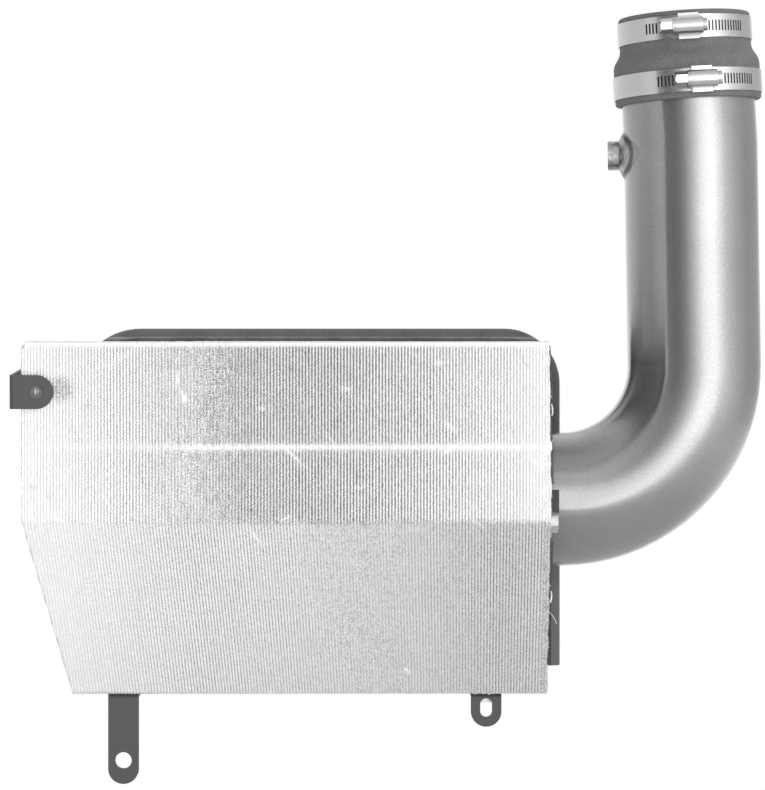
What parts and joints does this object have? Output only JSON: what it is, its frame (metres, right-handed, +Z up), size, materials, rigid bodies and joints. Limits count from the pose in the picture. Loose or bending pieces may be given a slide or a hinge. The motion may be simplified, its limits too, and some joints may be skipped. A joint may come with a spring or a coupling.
{
  "type": "cold air intake pipe",
  "caption": "Bent metal intake pipe with a clamped rubber outlet coupler, a pleated cone filter and an open-backed heat shield tray faced with ribbed aluminised cloth.",
  "frame": {"origin": "centre of the outlet coupler's open mouth", "axes": "+Z up along the pipe's upper leg, +X away from the shield, -Y towards the cloth-covered front"},
  "size_m": [0.4573, 0.1631, 0.4762],
  "materials": {
    "tube_metal": "gunmetal silver, polished, clear gloss coat",
    "coupler_rubber": "dark grey moulded rubber, satin",
    "clamp_steel": "bright stainless band",
    "shield_sheet": "dark grey powder coat on sheet, satin",
    "aluminised_cloth": "ribbed cloth with a bright aluminised face",
    "seal_rubber": "black extruded rubber, matte",
    "zinc_steel": "zinc plated",
    "bracket_paint": "dark grey paint, satin",
    "rivet_metal": "plain, slightly dull",
    "filter_rubber": "black moulded polyurethane, satin",
    "filter_cotton": "oiled red cotton gauze, pleated"
  },
  "bodies": {
    "root": {"intake_tube": "tube_metal", "tube_bung": "tube_metal", "outlet_coupler": "coupler_rubber", "filter_clamp_band": "clamp_steel", "filter_clamp_housing": "clamp_steel", "filter_clamp_screw": "clamp_steel", "outlet_clamp_band": "clamp_steel", "outlet_clamp_housing": "clamp_steel", "outlet_clamp_screw": "clamp_steel", "tube_clamp_band": "clamp_steel", "tube_clamp_housing": "clamp_steel", "tube_clamp_screw": "clamp_steel", "heat_shield": "shield_sheet", "heat_blanket": "aluminised_cloth", "hole_trim": "seal_rubber", "rim_trim": "seal_rubber", "bracket_bolts": "zinc_steel", "bracket_nuts": "zinc_steel", "side_bolt": "zinc_steel", "side_nut": "zinc_steel", "side_washer": "zinc_steel", "left_bracket": "bracket_paint", "slot_bracket": "bracket_paint", "strap_bracket": "bracket_paint", "tube_tab": "bracket_paint", "left_rivet": "rivet_metal", "filter_base": "filter_rubber", "filter_end_cap": "filter_rubber", "filter_media": "filter_cotton"}
  },
  "joints": []
}
